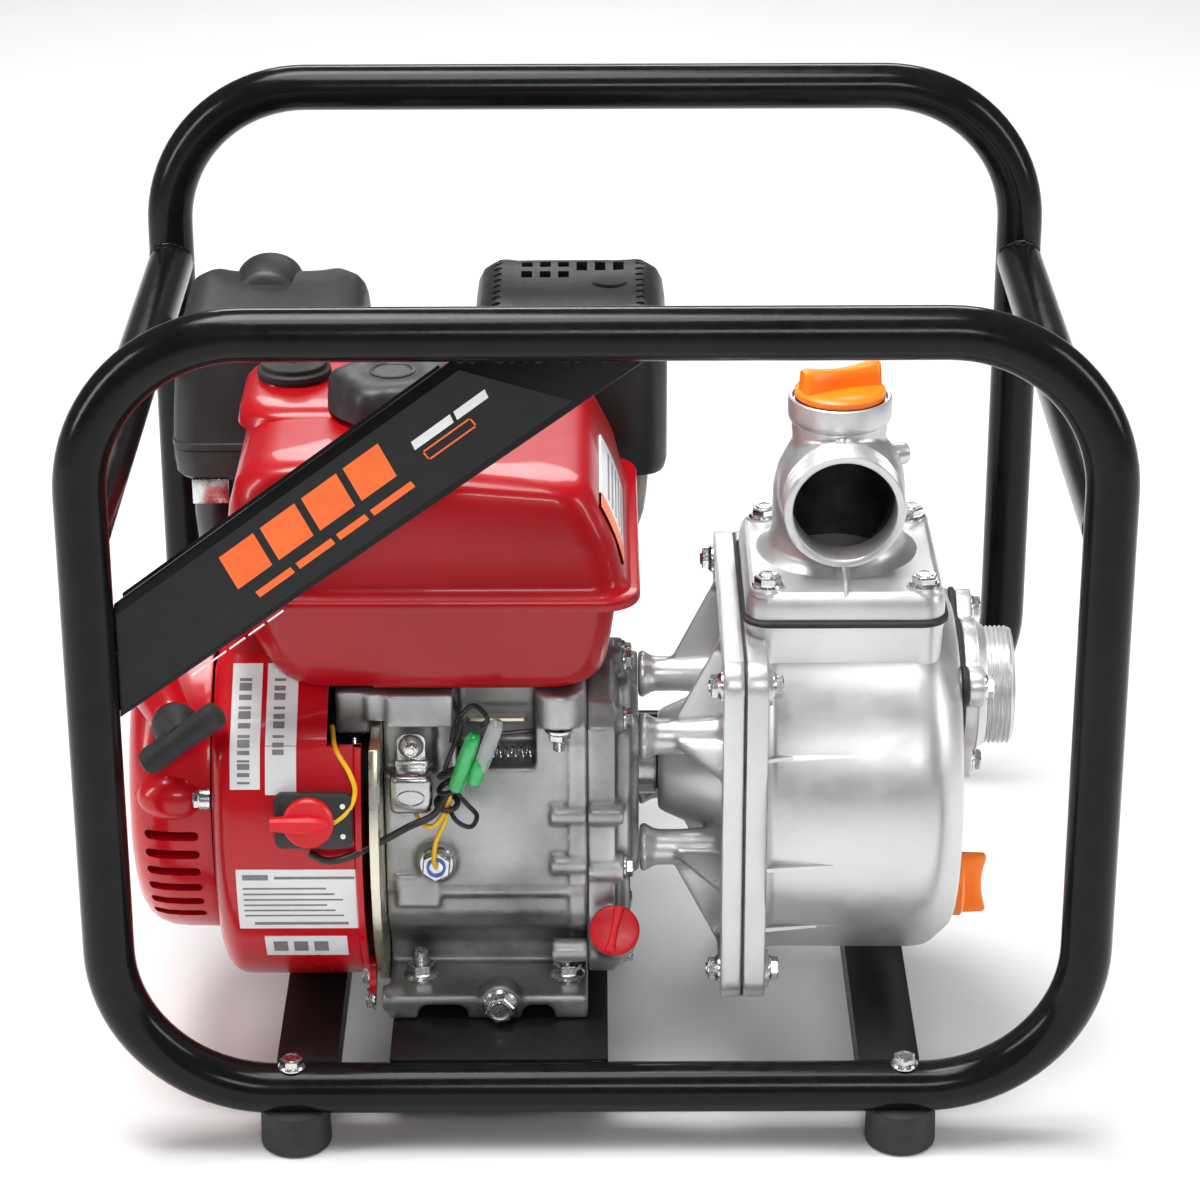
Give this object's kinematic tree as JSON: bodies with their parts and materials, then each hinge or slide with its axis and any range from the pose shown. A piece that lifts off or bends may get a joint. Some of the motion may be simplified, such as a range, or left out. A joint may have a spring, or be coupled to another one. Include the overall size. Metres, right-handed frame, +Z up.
{
  "type": "petrol engine water pump",
  "caption": "Petrol-engine water pump: a small recoil-start engine drives a close-coupled centrifugal pump with threaded ports, in a tubular steel carry frame on rubber feet.",
  "frame": {"origin": "on the ground under the middle of the carry frame", "axes": "+X along the crankshaft from the recoil starter to the suction port, +Y away from the discharge port, +Z up"},
  "size_m": [0.5, 0.4366, 0.4375],
  "materials": {
    "black_paint": "gloss black paint",
    "red_paint": "gloss red enamel",
    "cast_aluminium": "as cast, matt grey",
    "silver_paint": "satin silver paint over die casting",
    "steel": "plain steel",
    "zinc_plate": "zinc plated, slightly yellow",
    "cast_iron": "dark, rough",
    "black_rubber": "matt rubber",
    "black_plastic": "fine-grained moulding",
    "red_plastic": "satin moulding",
    "orange_plastic": "satin moulding",
    "woven": "dry foam and cord"
  },
  "bodies": {
    "engine_and_frame": {"air_cleaner_base": "black_plastic", "air_cleaner_cover": "black_plastic", "air_filter_element": "woven", "baffle_plate": "zinc_plate", "carburetor": "cast_aluminium", "crankcase": "cast_aluminium", "crankcase_cover": "cast_aluminium", "cross_bar_left": "black_paint", "cross_bar_right": "black_paint", "cylinder_head": "cast_aluminium", "discharge_elbow": "silver_paint", "engine_mount_plate": "black_paint", "fan_shroud": "red_paint", "frame_front_loop": "black_paint", "frame_rear_loop": "black_paint", "frame_side_tube_left": "black_paint", "frame_side_tube_right": "black_paint", "fuel_tank_pan": "red_paint", "fuel_tank_upper": "red_paint", "head_cover": "steel", "inner_volute": "cast_iron", "muffler": "steel", "muffler_shield": "black_paint", "nameplate_bracket": "black_paint", "oil_alert_module": "zinc_plate", "pump_adapter": "silver_paint", "pump_casing": "silver_paint", "recoil_cover": "red_paint", "rubber_foot_front_left": "black_rubber", "rubber_foot_front_right": "black_rubber", "rubber_foot_rear_left": "black_rubber", "rubber_foot_rear_right": "black_rubber", "spark_plug": "steel", "spark_plug_cap": "black_rubber", "suction_flange": "silver_paint", "suction_gasket": "black_rubber", "switch_body": "black_plastic", "tank_vapour_valve": "black_rubber", "throttle_plate": "zinc_plate", "top_gasket": "black_rubber"},
    "rotor": {"crankshaft": "steel", "flywheel": "cast_iron", "starter_cup": "zinc_plate", "impeller": "cast_iron"},
    "starter_reel": {"recoil_reel": "black_plastic"},
    "starter_grip": {"starter_handle": "black_rubber", "starter_rope": "woven"},
    "stop_switch_knob": {"switch_knob": "red_plastic"},
    "choke": {"choke_lever": "black_plastic"},
    "fuel_valve": {"fuel_valve_lever": "black_plastic"},
    "throttle": {"throttle_lever": "zinc_plate"},
    "suction_flap": {"check_valve_flap": "black_rubber"},
    "fuel_cap_lift": {"fuel_cap_gasket": "black_rubber"},
    "fuel_cap_turn": {"fuel_cap": "black_plastic"},
    "dipstick_lift": {"oil_dipstick_o_ring": "black_rubber"},
    "dipstick_turn": {"oil_dipstick": "red_plastic"},
    "priming_lift": {"priming_plug_o_ring": "black_rubber"},
    "priming_turn": {"priming_plug": "orange_plastic"},
    "drain_lift": {"drain_plug_o_ring": "black_rubber"},
    "drain_turn": {"drain_plug": "orange_plastic"}
  },
  "joints": [
    {"name": "crank_spin", "type": "hinge", "parent": "engine_and_frame", "child": "rotor", "pos_m": [0, -0.08, 0.151], "axis": [1, 0, 0], "continuous": true},
    {"name": "starter_pull", "type": "slide", "parent": "engine_and_frame", "child": "starter_grip", "axis": [0.3505, -0.9312, -0.1001], "range_m": [0, 0.6], "stiffness_N_per_m": 25, "springref_m": -0.2},
    {"name": "reel_spin", "type": "hinge", "parent": "engine_and_frame", "child": "starter_reel", "pos_m": [-0.211, -0.08, 0.151], "axis": [1, 0, 0], "range_deg": [0, 1111]},
    {"name": "stop_switch", "type": "hinge", "parent": "engine_and_frame", "child": "stop_switch_knob", "pos_m": [-0.139, -0.18624, 0.17201], "axis": [0, -0.981, 0.194], "range_deg": [0, 60]},
    {"name": "choke", "type": "hinge", "parent": "engine_and_frame", "child": "choke", "pos_m": [-0.172, 0.08512, 0.22546], "axis": [0, 1, 0], "range_deg": [0, 55]},
    {"name": "fuel_valve", "type": "hinge", "parent": "engine_and_frame", "child": "fuel_valve", "pos_m": [-0.152, 0.08512, 0.21346], "axis": [0, 1, 0], "range_deg": [0, 90]},
    {"name": "throttle", "type": "hinge", "parent": "engine_and_frame", "child": "throttle", "pos_m": [-0.112, 0.016, 0.2395], "axis": [0, 0, 1], "range_deg": [0, 25]},
    {"name": "suction_flap", "type": "hinge", "parent": "engine_and_frame", "child": "suction_flap", "pos_m": [0.1726, -0.08, 0.2247], "axis": [0, 1, 0], "range_deg": [0, 50]},
    {"name": "fuel_cap_lift", "type": "slide", "parent": "engine_and_frame", "child": "fuel_cap_lift", "axis": [0, 0, 1], "range_m": [0, 0.035]},
    {"name": "fuel_cap_turn", "type": "hinge", "parent": "fuel_cap_lift", "child": "fuel_cap_turn", "pos_m": [-0.099, -0.085, 0.35], "axis": [0, 0, 1], "range_deg": [0, 120]},
    {"name": "dipstick_lift", "type": "slide", "parent": "engine_and_frame", "child": "dipstick_lift", "axis": [0, -0.8192, 0.5736], "range_m": [0, 0.022]},
    {"name": "dipstick_turn", "type": "hinge", "parent": "dipstick_lift", "child": "dipstick_turn", "pos_m": [0.0085, -0.156, 0.093], "axis": [0, -0.8192, 0.5736], "range_deg": [0, 2000]},
    {"name": "priming_lift", "type": "slide", "parent": "engine_and_frame", "child": "priming_lift", "axis": [0, 0, 1], "range_m": [0, 0.018]},
    {"name": "priming_turn", "type": "hinge", "parent": "priming_lift", "child": "priming_turn", "pos_m": [0.12, -0.074, 0.345], "axis": [0, 0, 1], "range_deg": [0, 1640]},
    {"name": "drain_lift", "type": "slide", "parent": "engine_and_frame", "child": "drain_lift", "axis": [1, 0, 0], "range_m": [0, 0.018]},
    {"name": "drain_turn", "type": "hinge", "parent": "drain_lift", "child": "drain_turn", "pos_m": [0.18, -0.085, 0.082], "axis": [1, 0, 0], "range_deg": [0, 1640]}
  ],
  "couplings": [
    {"joint": "reel_spin", "follows": "starter_pull", "rad_per_m": 32.258},
    {"joint": "dipstick_turn", "follows": "dipstick_lift", "rad_per_m": 1570.8},
    {"joint": "priming_turn", "follows": "priming_lift", "rad_per_m": 1570.8},
    {"joint": "drain_turn", "follows": "drain_lift", "rad_per_m": 1570.8}
  ]
}
